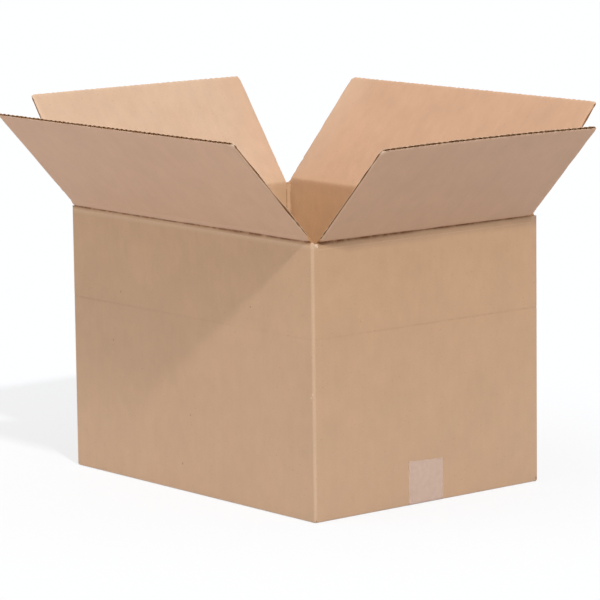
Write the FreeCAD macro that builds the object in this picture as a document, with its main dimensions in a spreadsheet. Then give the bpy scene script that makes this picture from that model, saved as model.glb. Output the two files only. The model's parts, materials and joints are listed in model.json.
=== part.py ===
import FreeCAD, Part

import os

import Sketcher
from FreeCAD import Rotation, Vector

# An open carton of corrugated board: one folded and glued sheet, its four top flaps, and the
# tape that closes its bottom. Millimetres and degrees. +Z is up, X runs along the long walls,
# and the origin is on the floor under the middle of the carton.

# Driving sizes: name, value, what it measures
SIZES = [
    ("carton_length", 414.0, "outside, over the two short walls, along X"),
    ("carton_width", 313.0, "outside, over the two long walls, along Y"),
    ("long_crease_height", 293.2, "floor to the top crease of the long walls"),
    ("board_thickness", 4.0, "single-wall board"),
    ("liner_thickness", 0.3, "each outer paper of the board"),
    ("medium_thickness", 0.35, "fluted paper, measured along the board"),
    ("flute_pitch", 7.8, "one wave of the fluted paper"),
    ("flute_tip_width", 1.2, "narrow side of one flute's opening"),
    ("flute_edge_margin", 5.0, "least plain board beside the first flute"),
    ("flap_reach", 145.0, "top flaps, crease to free edge"),
    ("long_flap_inset", 4.0, "slot between a corner and a long flap"),
    ("short_flap_inset", 8.5, "slot between a corner and a short flap"),
    ("slot_depth", 1.0, "slot's floor below the short walls' crease"),
    ("crushed_strip", 8.0, "board pressed solid beside a crease"),
    ("hinge_offset", 0.15, "crease line outside the wall's outer face"),
    ("root_gap", 0.2, "crease line to the flap's root"),
    ("crease_gap", 0.25, "crease line to the top of the wall"),
    ("flap_layer_gap", 0.3, "air between two flaps that lie on each other"),
    ("front_lean_angle", 47.0, "flap above the horizontal, at rest"),
    ("back_lean_angle", 49.5, "flap above the horizontal, at rest"),
    ("left_lean_angle", 54.0, "flap above the horizontal, at rest"),
    ("right_lean_angle", 45.5, "flap above the horizontal, at rest"),
    ("flap_corner_radius", 2.0, "free corner of a flap"),
    ("rubbed_corner_radius", 3.5, "free corner worn a little rounder"),
    ("bumped_corner_radius", 7.0, "free corner worn round"),
    ("wall_corner_radius", 2.5, "outside of an upright fold"),
    ("inner_corner_bevel", 4.0, "board crushed into the inside of an upright fold"),
    ("bottom_edge_radius", 2.5, "outside of a bottom fold"),
    ("score_height", 191.0, "floor to the middle of the pressed line around the walls"),
    ("score_width", 2.0, "pressed line"),
    ("score_depth", 0.25, "pressed line"),
    ("bottom_seam_gap", 1.0, "between the free edges of the outer bottom flaps"),
    ("inner_bottom_reach", 149.0, "inner bottom flaps, wall's outside to free edge"),
    ("bottom_step_run", 6.0, "length in which an inner bottom flap climbs over the outer ones"),
    ("bottom_step_gap", 0.6, "between that step and the end of an outer bottom flap"),
    ("lap_width", 35.0, "glued lap inside the right wall"),
    ("lap_taper", 12.0, "slant of the lap's two ends"),
    ("lap_end_gap", 4.0, "lap's ends clear of the creases"),
    ("seam_width", 0.4, "open line between the back wall and the right wall's raw edge"),
    ("tape_thickness", 0.1, "tape, which is also how high the board stands off the floor"),
    ("tape_width", 48.0, "tape across the seam"),
    ("tape_tab_height", 47.0, "floor to the tape's end on a short wall"),
    ("tape_offset", -4.5, "middle of the tape from the middle of the carton, along Y"),
    ("join_overlap", 1.0, "how far a flap's slab is sunk in its wall to join it"),
    ("cut_margin", 1.0, "how far a cutting shape passes the board"),
]

# Sizes worked out from the driving ones: name, formula
WORKED = [
    ("half_length", "Sizes.carton_length / 2"),
    ("half_width", "Sizes.carton_width / 2"),
    ("inner_half_length", "Sizes.carton_length / 2 - Sizes.board_thickness"),
    ("inner_half_width", "Sizes.carton_width / 2 - Sizes.board_thickness"),
    ("short_crease_height", "Sizes.long_crease_height - Sizes.board_thickness - Sizes.flap_layer_gap"),
    ("long_wall_top", "Sizes.long_crease_height - Sizes.crease_gap"),
    ("short_wall_top", "short_crease_height - Sizes.crease_gap"),
    ("slot_floor", "short_wall_top - Sizes.slot_depth"),
    ("cut_top", "long_wall_top + Sizes.cut_margin"),
    ("board_floor", "Sizes.tape_thickness"),
    ("inner_layer", "board_floor + Sizes.board_thickness + Sizes.flap_layer_gap"),
    ("long_flap_span", "Sizes.carton_length - 2 * Sizes.long_flap_inset"),
    ("short_flap_span", "Sizes.carton_width - 2 * Sizes.short_flap_inset"),
    ("outer_bottom_end", "inner_half_length - Sizes.bottom_step_run - Sizes.bottom_step_gap"),
    ("step_start", "inner_half_length - Sizes.bottom_step_run"),
    ("inner_bottom_end", "half_length - Sizes.inner_bottom_reach"),
    ("flap_outer_face", "Sizes.hinge_offset"),
    ("flap_inner_face", "Sizes.hinge_offset + Sizes.board_thickness"),
    ("flute_low", "flap_outer_face + Sizes.liner_thickness"),
    ("flute_high", "flap_inner_face - Sizes.liner_thickness"),
    ("flute_tip", "Sizes.flute_tip_width / 2"),
    ("flute_base", "Sizes.flute_pitch / 2 - flute_tip - Sizes.medium_thickness"),
    ("flute_depth", "Sizes.flap_reach - Sizes.crushed_strip"),
    ("long_flute_count", "floor((long_flap_span - 2 * Sizes.flute_edge_margin) / Sizes.flute_pitch)"),
    ("short_flute_count", "floor((short_flap_span - 2 * Sizes.flute_edge_margin) / Sizes.flute_pitch)"),
    ("lap_low", "inner_layer + Sizes.board_thickness + Sizes.lap_end_gap"),
    ("lap_high", "short_wall_top - Sizes.board_thickness - Sizes.lap_end_gap"),
    ("lap_edge", "inner_half_width - Sizes.lap_width"),
]

# Top flaps: node, turn of its wall about Z, its lean, which pair of walls it belongs to, and
# the corner radius at its two ends along its own X
FLAPS = [
    ("front_flap", 180.0, "front_lean_angle", "long", "flap_corner_radius", "flap_corner_radius"),
    ("back_flap", 0.0, "back_lean_angle", "long", "bumped_corner_radius", "flap_corner_radius"),
    ("left_flap", 90.0, "left_lean_angle", "short", "flap_corner_radius", "rubbed_corner_radius"),
    ("right_flap", -90.0, "right_lean_angle", "short", "flap_corner_radius", "flap_corner_radius"),
]

NEAR = 0.01  # two places closer than this are the same place

doc = FreeCAD.newDocument("open_carton")


def fill_sheets():
    """Put the driving sizes in one sheet and the sizes worked out from them in another."""
    sizes = doc.addObject("Spreadsheet::Sheet", "Sizes")
    for row, (name, value, meaning) in enumerate(SIZES, start=1):
        sizes.set(f"A{row}", meaning)
        sizes.set(f"B{row}", str(value))
        sizes.setAlias(f"B{row}", name)
    worked = doc.addObject("Spreadsheet::Sheet", "Worked")
    for row, (name, formula) in enumerate(WORKED, start=1):
        worked.setAlias(f"B{row}", name)
        worked.set(f"B{row}", "=" + formula)
    doc.recompute()
    return sizes


sizes = fill_sheets()


def number(formula):
    """The value of a formula on the sheets' names."""
    return float(sizes.evalExpression(formula))


def new_body(name):
    """An empty body whose label names its file."""
    body = doc.addObject("PartDesign::Body", name)
    body.Label = name
    return body


def origin_part(body, role):
    """One of the body's own origin planes or axes."""
    return next(part for part in body.Origin.OriginFeatures if part.Role == role)


def outline_sketch(body, name, role, outlines, lift="0"):
    """Closed outlines on an origin plane, lifted off it by a formula.

    Each outline is a list of corners, and each corner is a pair of formulas that its two
    dimensions from the origin are bound to.
    """
    sketch = body.newObject("Sketcher::SketchObject", name)
    sketch.AttachmentSupport = [(origin_part(body, role), "")]
    sketch.MapMode = "FlatFace"
    sketch.setExpression("AttachmentOffset.Base.z", lift)
    for corners in outlines:
        first = sketch.GeometryCount
        points = [Vector(number(across), number(along), 0) for across, along in corners]
        for start, end in zip(points, points[1:] + points[:1]):
            sketch.addGeometry(Part.LineSegment(start, end))
        for i, (across, along) in enumerate(corners):
            following = first + (i + 1) % len(corners)
            sketch.addConstraint(Sketcher.Constraint("Coincident", first + i, 2, following, 1))
            for kind, formula in (("DistanceX", across), ("DistanceY", along)):
                limit = Sketcher.Constraint(kind, -1, 1, first + i, 1, number(formula))
                index = sketch.addConstraint(limit)
                sketch.setExpression(f"Constraints[{index}]", formula)
    return sketch


def rectangle(left, right, low, high):
    """The corners of a rectangle between four formulas."""
    return [(left, low), (right, low), (right, high), (left, high)]


def mirrored(outline, across):
    """The outline and its mirror image in the sketch's upright axis or its level axis."""
    if across:
        return [outline, [(f"-({a})", b) for a, b in outline]]
    return [outline, [(a, f"-({b})") for a, b in outline]]


def add(body, kind, name, sketch, length, side="One side", reverse=False):
    """A pad or pocket of a sketch, as long as a formula says."""
    feature = body.newObject("PartDesign::" + kind, name)
    feature.Profile = sketch
    feature.SideType = side
    feature.Reversed = reverse
    feature.setExpression("Length", length)
    doc.recompute()
    return feature


def dress(body, kind, name, test, size):
    """A fillet or chamfer, sized by a formula, on the edges of the tip that pass a test."""
    base = body.Tip
    names = [f"Edge{i}" for i, edge in enumerate(base.Shape.Edges, start=1) if test(edge)]
    feature = body.newObject("PartDesign::" + kind, name)
    feature.Base = (base, names)
    feature.setExpression("Radius" if kind == "Fillet" else "Size", size)
    doc.recompute()
    return feature


def upright_at(edge, x, y):
    """Whether an edge is upright and stands at a place."""
    first, last = edge.BoundBox.getPoint(0), edge.BoundBox.getPoint(6)
    stands = edge.BoundBox.ZLength > max(edge.BoundBox.XLength, edge.BoundBox.YLength)
    middle = (first + last) / 2
    return stands and abs(middle.x - x) < NEAR and abs(middle.y - y) < NEAR


def build_carton():
    """The folded sheet without its top flaps: four walls, a glued lap and four bottom flaps."""
    body = new_body("carton_body")
    half_length, half_width = number("Worked.half_length"), number("Worked.half_width")
    inner_length = number("Worked.inner_half_length")
    inner_width = number("Worked.inner_half_width")
    floor = number("Worked.board_floor")
    corners = [(-1, -1), (1, -1), (-1, 1), (1, 1)]

    ring = outline_sketch(body, "wall_ring", "XY_Plane", [
        rectangle("-Worked.half_length", "Worked.half_length", "-Worked.half_width", "Worked.half_width"),
        rectangle("-Worked.inner_half_length", "Worked.inner_half_length",
                  "-Worked.inner_half_width", "Worked.inner_half_width"),
    ], "Worked.board_floor")
    add(body, "Pad", "walls", ring, "Worked.long_wall_top - Worked.board_floor")

    # The fourth upright corner, right and back, is the glued one, and its raw edge stays square
    dress(body, "Fillet", "upright_folds", lambda edge: any(
        upright_at(edge, side * half_length, end * half_width) for side, end in corners[:3]
    ), "Sizes.wall_corner_radius")
    dress(body, "Chamfer", "crushed_corners", lambda edge: any(
        upright_at(edge, side * inner_length, end * inner_width) for side, end in corners
    ), "Sizes.inner_corner_bevel")

    def outer_bottom(edge):
        box = edge.BoundBox
        outside = max(abs(box.XMin), abs(box.XMax)) > inner_length + NEAR
        outside = outside or max(abs(box.YMin), abs(box.YMax)) > inner_width + NEAR
        return outside and abs(box.ZMin - floor) < NEAR and box.ZLength < NEAR

    dress(body, "Fillet", "bottom_folds", outer_bottom, "Sizes.bottom_edge_radius")

    # Outer bottom flaps, hinged at the long walls and closed under the tape
    outer = rectangle("-Worked.outer_bottom_end", "Worked.outer_bottom_end",
                      "Sizes.bottom_seam_gap / 2", "Worked.inner_half_width + Sizes.join_overlap")
    sketch = outline_sketch(body, "outer_bottom_outline", "XY_Plane", mirrored(outer, False),
                            "Worked.board_floor")
    add(body, "Pad", "outer_bottom_flaps", sketch, "Sizes.board_thickness")

    # Inner bottom flaps, hinged at the short walls, climb over the outer ones and lie on them
    thick = "Sizes.board_thickness"
    inner = [
        ("Worked.inner_half_length + Sizes.join_overlap", "Worked.board_floor"),
        ("Worked.inner_half_length", "Worked.board_floor"),
        ("Worked.step_start", "Worked.inner_layer"),
        ("Worked.inner_bottom_end", "Worked.inner_layer"),
        ("Worked.inner_bottom_end", "Worked.inner_layer + " + thick),
        ("Worked.step_start", "Worked.inner_layer + " + thick),
        ("Worked.inner_half_length", "Worked.board_floor + " + thick),
        ("Worked.inner_half_length + Sizes.join_overlap", "Worked.board_floor + " + thick),
    ]
    sketch = outline_sketch(body, "inner_bottom_outline", "XZ_Plane", mirrored(inner, True))
    add(body, "Pad", "inner_bottom_flaps", sketch, "Worked.short_flap_span", "Symmetric")

    # Glued lap: the back wall's end, folded in behind the right wall
    lap = [
        ("Worked.inner_half_width", "Worked.lap_low"),
        ("Worked.lap_edge", "Worked.lap_low + Sizes.lap_taper"),
        ("Worked.lap_edge", "Worked.lap_high - Sizes.lap_taper"),
        ("Worked.inner_half_width", "Worked.lap_high"),
    ]
    sketch = outline_sketch(body, "lap_outline", "YZ_Plane", [lap],
                            "Worked.inner_half_length - Sizes.board_thickness")
    add(body, "Pad", "glued_lap", sketch, "Sizes.board_thickness + Sizes.join_overlap")

    # Tops of the walls, bevelled inwards at half a right angle where the crease crushes them
    clear = " + Sizes.inner_corner_bevel + Sizes.cut_margin"
    for pair, half, inside, plane in (
        ("long", "Worked.half_width", "Worked.inner_half_width", "YZ_Plane"),
        ("short", "Worked.half_length", "Worked.inner_half_length", "XZ_Plane"),
    ):
        top = f"Worked.{pair}_wall_top"
        bevel = [
            (f"-{half} - Sizes.cut_margin", f"{top} + Sizes.cut_margin"),
            (f"-{inside}", f"{top} - Sizes.board_thickness"),
            (f"-{inside}" + clear, f"{top} - Sizes.board_thickness"),
            (f"-{inside}" + clear, "Worked.cut_top + Sizes.cut_margin"),
            (f"-{half} - Sizes.cut_margin", "Worked.cut_top + Sizes.cut_margin"),
        ]
        sketch = outline_sketch(body, f"{pair}_bevel_outline", plane, mirrored(bevel, True))
        add(body, "Pocket", f"{pair}_wall_bevels", sketch, f"Worked.{pair}_flap_span", "Symmetric")

    # Slots at the four corners, cut down past the creases
    outside_x = "Worked.half_length + Sizes.cut_margin"
    outside_y = "Worked.half_width + Sizes.cut_margin"
    slot_x = "Worked.half_length - Sizes.long_flap_inset"
    slot_y = "Worked.half_width - Sizes.short_flap_inset"
    inside_x = "Worked.inner_half_length - Sizes.inner_corner_bevel - Sizes.cut_margin"
    slot = [
        (slot_x, outside_y), (outside_x, outside_y), (outside_x, slot_y),
        (inside_x, slot_y), (inside_x, "Worked.inner_half_width"), (slot_x, "Worked.inner_half_width"),
    ]
    slots = [corner for half in mirrored(slot, True) for corner in mirrored(half, False)]
    sketch = outline_sketch(body, "slot_outline", "XY_Plane", slots, "Worked.slot_floor")
    add(body, "Pocket", "corner_slots", sketch, "Worked.cut_top - Worked.slot_floor", reverse=True)

    # Open line between the back wall and the right wall's raw edge
    seam = rectangle("Worked.inner_half_length - Sizes.seam_width", "Worked.inner_half_length",
                     "Worked.inner_half_width + Sizes.liner_thickness", outside_y)
    sketch = outline_sketch(body, "seam_outline", "XY_Plane", [seam], "Worked.cut_top")
    add(body, "Pocket", "glued_corner_line", sketch, "Worked.cut_top")

    # Line pressed around the walls, where the carton can be cut down and folded lower
    score = [
        rectangle("-Worked.half_length - Sizes.cut_margin", outside_x,
                  "-Worked.half_width - Sizes.cut_margin", outside_y),
        rectangle("-Worked.half_length + Sizes.score_depth", "Worked.half_length - Sizes.score_depth",
                  "-Worked.half_width + Sizes.score_depth", "Worked.half_width - Sizes.score_depth"),
    ]
    sketch = outline_sketch(body, "score_outline", "XY_Plane", score, "Sizes.score_height")
    add(body, "Pocket", "pressed_line", sketch, "Sizes.score_width", "Symmetric")
    return body


def build_flap(name, turn, lean, pair, first_radius, last_radius):
    """One top flap: fluted board, bevelled and pressed solid at its crease.

    In the flap's own frame X is the crease line, Y runs to the free edge and Z goes from the
    outer face to the inner one. The placement turns it to its wall and leans it.
    """
    body = new_body(name)
    span = f"Worked.{pair}_flap_span"
    section = [
        ("Sizes.root_gap", "Worked.flap_outer_face"),
        ("Sizes.flap_reach", "Worked.flap_outer_face"),
        ("Sizes.flap_reach", "Worked.flap_inner_face"),
        ("Sizes.root_gap + Sizes.board_thickness", "Worked.flap_inner_face"),
    ]
    sketch = outline_sketch(body, name + "_section", "YZ_Plane", [section])
    add(body, "Pad", name + "_board", sketch, span, "Symmetric")

    reach, half_span = number("Sizes.flap_reach"), number(span + " / 2")
    for end, side, radius in (("first", -1, first_radius), ("last", 1, last_radius)):
        dress(body, "Fillet", f"{name}_{end}_corner",
              lambda edge: upright_at(edge, side * half_span, reach), "Sizes." + radius)

    # Flutes open at the free edge: one wave is a flute on the outer liner and one on the inner
    rows = f"Worked.{pair}_flute_count"
    start = f"-Sizes.flute_pitch * ({rows} - 0.5) / 2"
    outer_flute = [
        (f"{start} - Worked.flute_base", "Worked.flute_low"),
        (f"{start} + Worked.flute_base", "Worked.flute_low"),
        (f"{start} + Worked.flute_tip", "Worked.flute_high"),
        (f"{start} - Worked.flute_tip", "Worked.flute_high"),
    ]
    next_flute = f"{start} + Sizes.flute_pitch / 2"
    inner_flute = [
        (f"{next_flute} - Worked.flute_tip", "Worked.flute_low"),
        (f"{next_flute} + Worked.flute_tip", "Worked.flute_low"),
        (f"{next_flute} + Worked.flute_base", "Worked.flute_high"),
        (f"{next_flute} - Worked.flute_base", "Worked.flute_high"),
    ]
    sketch = outline_sketch(body, name + "_flute_outline", "XZ_Plane", [outer_flute, inner_flute],
                            "-Sizes.flap_reach")
    wave = add(body, "Pocket", name + "_wave", sketch, "Worked.flute_depth", reverse=True)
    waves = body.newObject("PartDesign::LinearPattern", name + "_waves")
    waves.Originals = [wave]
    waves.Direction = (origin_part(body, "X_Axis"), [""])
    waves.setExpression("Length", f"Sizes.flute_pitch * ({rows} - 1)")
    waves.setExpression("Occurrences", rows)
    body.Tip = waves

    # The crease line lies just outside the wall's outer face, at the crease's height
    wall = Rotation(turn, 0, 0).multVec(Vector(0, 1, 0))
    half = "Worked.half_width" if pair == "long" else "Worked.half_length"
    height = "Sizes.long_crease_height" if pair == "long" else "Worked.short_crease_height"
    out = f"({half} + Sizes.hinge_offset)"
    place = f"vector({round(wall.x)} * {out}; {round(wall.y)} * {out}; {height})"
    body.setExpression("Placement", f"placement({place}; rotation({turn}; 0; Sizes.{lean}))")
    doc.recompute()
    return body


def build_tape():
    """The clear tape along the bottom seam and up both short walls."""
    body = new_body("bottom_tape")
    side = "Worked.half_length"
    thick = "Sizes.tape_thickness"
    strip = [
        (f"-{side} - {thick}", "0"), (f"{side} + {thick}", "0"),
        (f"{side} + {thick}", "Sizes.tape_tab_height"), (side, "Sizes.tape_tab_height"),
        (side, thick), ("-" + side, thick),
        ("-" + side, "Sizes.tape_tab_height"), (f"-{side} - {thick}", "Sizes.tape_tab_height"),
    ]
    sketch = outline_sketch(body, "tape_outline", "XZ_Plane", [strip], "-Sizes.tape_offset")
    add(body, "Pad", "tape_strip", sketch, "Sizes.tape_width", "Symmetric")

    def folded_at(half_length, height):
        """A test for the tape's level edges at one distance from the middle and one height."""
        def test(edge):
            box = edge.BoundBox
            level = abs(box.ZMin - height) < NEAR / 10 and box.ZLength < NEAR / 10
            return level and box.XLength < NEAR and abs(abs(box.XMin) - half_length) < NEAR
        return test

    half_length, tape = number(side), number(thick)
    dress(body, "Fillet", "tape_outer_folds", folded_at(half_length + tape, 0.0),
          "Sizes.bottom_edge_radius + Sizes.tape_thickness")
    dress(body, "Fillet", "tape_inner_folds", folded_at(half_length, tape), "Sizes.bottom_edge_radius")
    return body


bodies = [build_carton()] + [build_flap(*flap) for flap in FLAPS] + [build_tape()]
doc.recompute()

failed = [item.Name for item in doc.Objects if {"Invalid", "Error"} & set(item.State)]
if failed:
    raise RuntimeError("these features failed: " + ", ".join(failed))
for body in bodies:
    if body.Shape.isNull() or not body.Shape.isValid() or len(body.Shape.Solids) != 1:
        raise RuntimeError(body.Label + " is not one valid solid")

os.makedirs("parts", exist_ok=True)
for body in bodies:
    body.Shape.exportStep(f"parts/{body.Label}.step")
    print(body.Label, round(body.Shape.Volume), "mm3,", len(body.Shape.Faces), "faces")
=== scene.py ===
import json
import logging
import math
from dataclasses import dataclass, field, fields
from enum import Enum

import bpy
import numpy as np
from bpy.types import ID, Material, Node, NodeSocket, NodeTree, Object
from mathutils import Matrix, Vector

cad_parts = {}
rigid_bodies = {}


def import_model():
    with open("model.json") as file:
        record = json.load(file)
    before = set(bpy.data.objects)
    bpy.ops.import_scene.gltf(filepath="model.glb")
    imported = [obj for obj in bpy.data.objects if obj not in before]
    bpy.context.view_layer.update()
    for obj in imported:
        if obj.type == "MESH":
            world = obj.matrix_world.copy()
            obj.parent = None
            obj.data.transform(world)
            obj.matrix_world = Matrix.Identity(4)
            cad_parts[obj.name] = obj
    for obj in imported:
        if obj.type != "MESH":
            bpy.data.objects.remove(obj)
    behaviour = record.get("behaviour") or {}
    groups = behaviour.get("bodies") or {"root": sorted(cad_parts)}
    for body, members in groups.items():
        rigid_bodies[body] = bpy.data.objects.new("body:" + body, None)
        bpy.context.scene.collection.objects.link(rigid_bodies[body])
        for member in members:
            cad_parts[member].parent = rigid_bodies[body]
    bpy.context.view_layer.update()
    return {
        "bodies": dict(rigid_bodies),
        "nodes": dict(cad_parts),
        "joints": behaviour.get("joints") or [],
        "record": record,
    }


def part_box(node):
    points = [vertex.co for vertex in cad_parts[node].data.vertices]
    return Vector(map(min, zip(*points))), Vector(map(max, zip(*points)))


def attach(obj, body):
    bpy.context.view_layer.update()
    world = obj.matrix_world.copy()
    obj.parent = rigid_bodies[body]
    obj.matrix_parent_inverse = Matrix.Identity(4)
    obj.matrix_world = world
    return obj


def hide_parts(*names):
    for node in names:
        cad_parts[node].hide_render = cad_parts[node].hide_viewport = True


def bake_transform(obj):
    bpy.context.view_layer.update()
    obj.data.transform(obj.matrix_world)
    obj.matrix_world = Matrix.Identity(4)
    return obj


# An open carton of corrugated kraft board, in metres. The walls, flaps and tape are closed
# meshes worked out on grids around the frame's own sizes, hinges and leans.

MM = 0.001
UP = np.array([0.0, 0.0, 1.0])

# The board's faces lie this far inside the hinge axes.
HINGE_GAP = 0.15 * MM

# Edges that turn by more degrees than this stay sharp.
SHARP_ANGLE = 38.0

# Slots of every board piece, and the sheet coordinate that tells its inner side.
OUTER, INNER, CUT = 0, 1, 2
INSIDE = 1.0

WHITE = (1.0, 1.0, 1.0, 1.0)

log = logging.getLogger("open_carton")

# Coordinates or values at the points of a line or a grid.
Grid = np.ndarray


class Slot(Enum):
    """The record's material slots."""

    BOARD = "kraft_board"
    FLUTE = "kraft_flute"
    TAPE = "clear_tape"


@dataclass(frozen=True)
class Board:
    """Single-wall corrugated board.

    thickness: over both liners.
    liner: each outer paper.
    medium: the fluted paper.
    pitch: one wave of the fluted paper.
    """

    thickness: float = 4.0 * MM
    liner: float = 0.32 * MM
    medium: float = 0.3 * MM
    pitch: float = 7.8 * MM


BOARD = Board()


def smooth(share: Grid) -> Grid:
    """A ramp from 0 to 1 that starts and ends level: 3 s squared minus 2 s cubed."""
    share = np.clip(share, 0.0, 1.0)
    return share * share * (3.0 - 2.0 * share)


def bell(distance: Grid, width: float) -> Grid:
    """1 at distance 0, falling off as exp(-(distance / width) squared)."""
    return np.exp(-((distance / width) ** 2))


def ripple(across: Grid, along: Grid, seed: int, length: float) -> Grid:
    """A smooth random relief of about unit height.

    It is the sum of seven plane waves, whose directions, phases and lengths near the given
    one come from the seed, divided by the root of seven.

    Args:
        across: first coordinate of each point.
        along: second coordinate of each point.
        seed: picks the waves.
        length: typical wavelength.

    Returns:
        The relief at each point.
    """
    rng = np.random.default_rng(seed)
    count = 7
    total = np.zeros(np.broadcast(across, along).shape)
    for _ in range(count):
        angle, phase = rng.uniform(0.0, math.tau, 2)
        pace = math.tau / (length * rng.uniform(0.6, 1.5))
        total = total + np.sin(pace * (across * math.cos(angle) + along * math.sin(angle)) + phase)
    return total / math.sqrt(count)


@dataclass
class Surface:
    """A grid of points with the values that its finish reads.

    points: rows by columns by 3, in the row frame.
    sheet: the same points on the flat, unfolded sheet; the third value tells its two sides apart.
    wear: 0 to 1, where the paper is rubbed light, and where a painted highlight lies along a rounded fold.
    pressed: 0 to 1, where painted shade darkens a fold's valley or a scored line.
    """

    points: Grid
    sheet: Grid
    wear: Grid
    pressed: Grid


def surface(points: Grid, sheet: Grid, wear: Grid | float = 0.0,
            pressed: Grid | float = 0.0) -> Surface:
    """A surface whose values are spread to the shape of its points."""
    shape = points.shape[:2]
    return Surface(points, sheet, np.broadcast_to(wear, shape), np.broadcast_to(pressed, shape))


def stack(*parts: Grid | float) -> Grid:
    """Coordinates of one shape, stacked as the last axis."""
    return np.stack(np.broadcast_arrays(*[np.asarray(p, float) for p in parts]), axis=-1)


@dataclass
class Skin(Surface):
    """A closed mesh in the making: its values point by point, its faces and the slot of each."""

    faces: Grid
    finish: Grid

    def turned_out(self) -> "Skin":
        """The same skin with its faces outwards: the volume under its faces is made positive."""
        a, b, c, d = (self.points[self.faces[:, k]] for k in range(4))
        volume = np.einsum("ij,ij->", a, np.cross(b, c)) + np.einsum("ij,ij->", a, np.cross(c, d))
        if volume < 0.0:
            self.faces = self.faces[:, ::-1]
        return self


def flat_values(*surfaces: Surface) -> list[Grid]:
    """The values of several surfaces, one after another and point by point."""
    return [np.concatenate([np.concatenate(getattr(s, part.name)) for s in surfaces])
            for part in fields(Surface)]


def numbered(grid: Grid) -> Grid:
    """The number of each point of a grid."""
    rows, columns = grid.shape[:2]
    return np.arange(rows * columns).reshape(rows, columns)


def grid_faces(index: Grid) -> Grid:
    """The four-cornered faces between the neighbours of a grid of point numbers."""
    corners = (index[:-1, :-1], index[1:, :-1], index[1:, 1:], index[:-1, 1:])
    return np.stack(corners, axis=-1).reshape(-1, 4)


def slab(front: Surface, back: Surface, finishes: tuple[int, int, int]) -> Skin:
    """A closed plate between two grids of the same shape.

    Its rim joins the two grids' borders point by point.

    Args:
        front: one face.
        back: the other face, with its points in the same order.
        finishes: slot numbers of the front, the back and the rim.

    Returns:
        The plate, with its faces outwards.
    """
    index = numbered(front.points)
    count = index.size
    border = np.concatenate([index[0, :-1], index[:-1, -1], index[-1, :0:-1], index[:0:-1, 0]])
    following = np.roll(border, -1)
    face = grid_faces(index)
    rim = np.stack([border, following, following + count, border + count], axis=-1)
    faces = np.concatenate([face, face[:, ::-1] + count, rim])
    finish = np.repeat(finishes, [len(face), len(face), len(rim)])
    return Skin(*flat_values(front, back), faces, finish).turned_out()


def hoop(whole: Surface, finish: Grid) -> Skin:
    """A closed band: a grid that joins up in both directions.

    Args:
        whole: the grid, rows round the band and columns round its section.
        finish: slot number of each face, in the grid's shape.

    Returns:
        The band, with its faces outwards.
    """
    index = np.pad(numbered(whole.points), (0, 1), mode="wrap")
    return Skin(*flat_values(whole), grid_faces(index), finish.ravel()).turned_out()


def add_object(name: str, data: ID) -> Object:
    """A new object in the scene."""
    made = bpy.data.objects.new(name, data)
    bpy.context.scene.collection.objects.link(made)
    return made


def build_object(name: str, skins: list[Skin], materials: list[Material]) -> Object:
    """One object of closed skins, with their values as attributes of its points.

    Args:
        name: the object's name.
        skins: the skins it is made of.
        materials: its material slots.

    Returns:
        The object, at the origin, in the scene.
    """
    points = np.concatenate([s.points for s in skins])
    starts = np.cumsum([0] + [len(s.points) for s in skins[:-1]])
    faces = np.concatenate([s.faces + start for s, start in zip(skins, starts)])
    mesh = bpy.data.meshes.new(name)
    mesh.vertices.add(len(points))
    mesh.loops.add(faces.size)
    mesh.polygons.add(len(faces))
    mesh.vertices.foreach_set("co", points.astype(np.float32).ravel())
    mesh.loops.foreach_set("vertex_index", faces.astype(np.int32).ravel())
    mesh.polygons.foreach_set("loop_start", np.arange(0, faces.size, 4, dtype=np.int32))
    mesh.polygons.foreach_set("material_index", np.concatenate([s.finish for s in skins]).astype(np.int32))
    for material in materials:
        mesh.materials.append(material)
    mesh.update(calc_edges=True)
    for key, kind, part in (("sheet", "FLOAT_VECTOR", "vector"), ("wear", "FLOAT", "value"),
                            ("pressed", "FLOAT", "value")):
        layer = mesh.attributes.new(key, kind, "POINT")
        values = np.concatenate([getattr(s, key) for s in skins])
        layer.data.foreach_set(part, values.astype(np.float32).ravel())
    mesh.shade_smooth()
    mesh.set_sharp_from_angle(angle=math.radians(SHARP_ANGLE))
    log.info("%s: %d points, %d faces", name, len(points), len(faces))
    return add_object(name, mesh)


class Wire:
    """One output socket, so that shader maths is written as an expression."""

    def __init__(self, nodes: "Nodes", socket: NodeSocket) -> None:
        """Keep the socket and the nodes that it belongs to."""
        self.nodes = nodes
        self.socket = socket

    def maths(self, operation: str, first: "Wire | float", second: "Wire | float" = 0.0) -> "Wire":
        """A Math node on two values."""
        node = self.nodes.node("ShaderNodeMath", {"operation": operation}, {0: first, 1: second})
        return Wire(self.nodes, node.outputs[0])

    def __add__(self, other: "Wire | float") -> "Wire":
        """This plus other."""
        return self.maths("ADD", self, other)

    __radd__ = __add__

    def __sub__(self, other: "Wire | float") -> "Wire":
        """This minus other."""
        return self.maths("SUBTRACT", self, other)

    def __rsub__(self, other: "Wire | float") -> "Wire":
        """Other minus this."""
        return self.maths("SUBTRACT", other, self)

    def __mul__(self, other: "Wire | float") -> "Wire":
        """This times other."""
        return self.maths("MULTIPLY", self, other)

    __rmul__ = __mul__

    def wave(self) -> "Wire":
        """The cosine of this."""
        return self.maths("COSINE", self)

    def span(self, low: float, high: float) -> "Wire":
        """0 below low, 1 above high and even in between."""
        node = self.nodes.node("ShaderNodeMapRange", {"clamp": True}, {0: self, 1: low, 2: high})
        return Wire(self.nodes, node.outputs[0])


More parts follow.
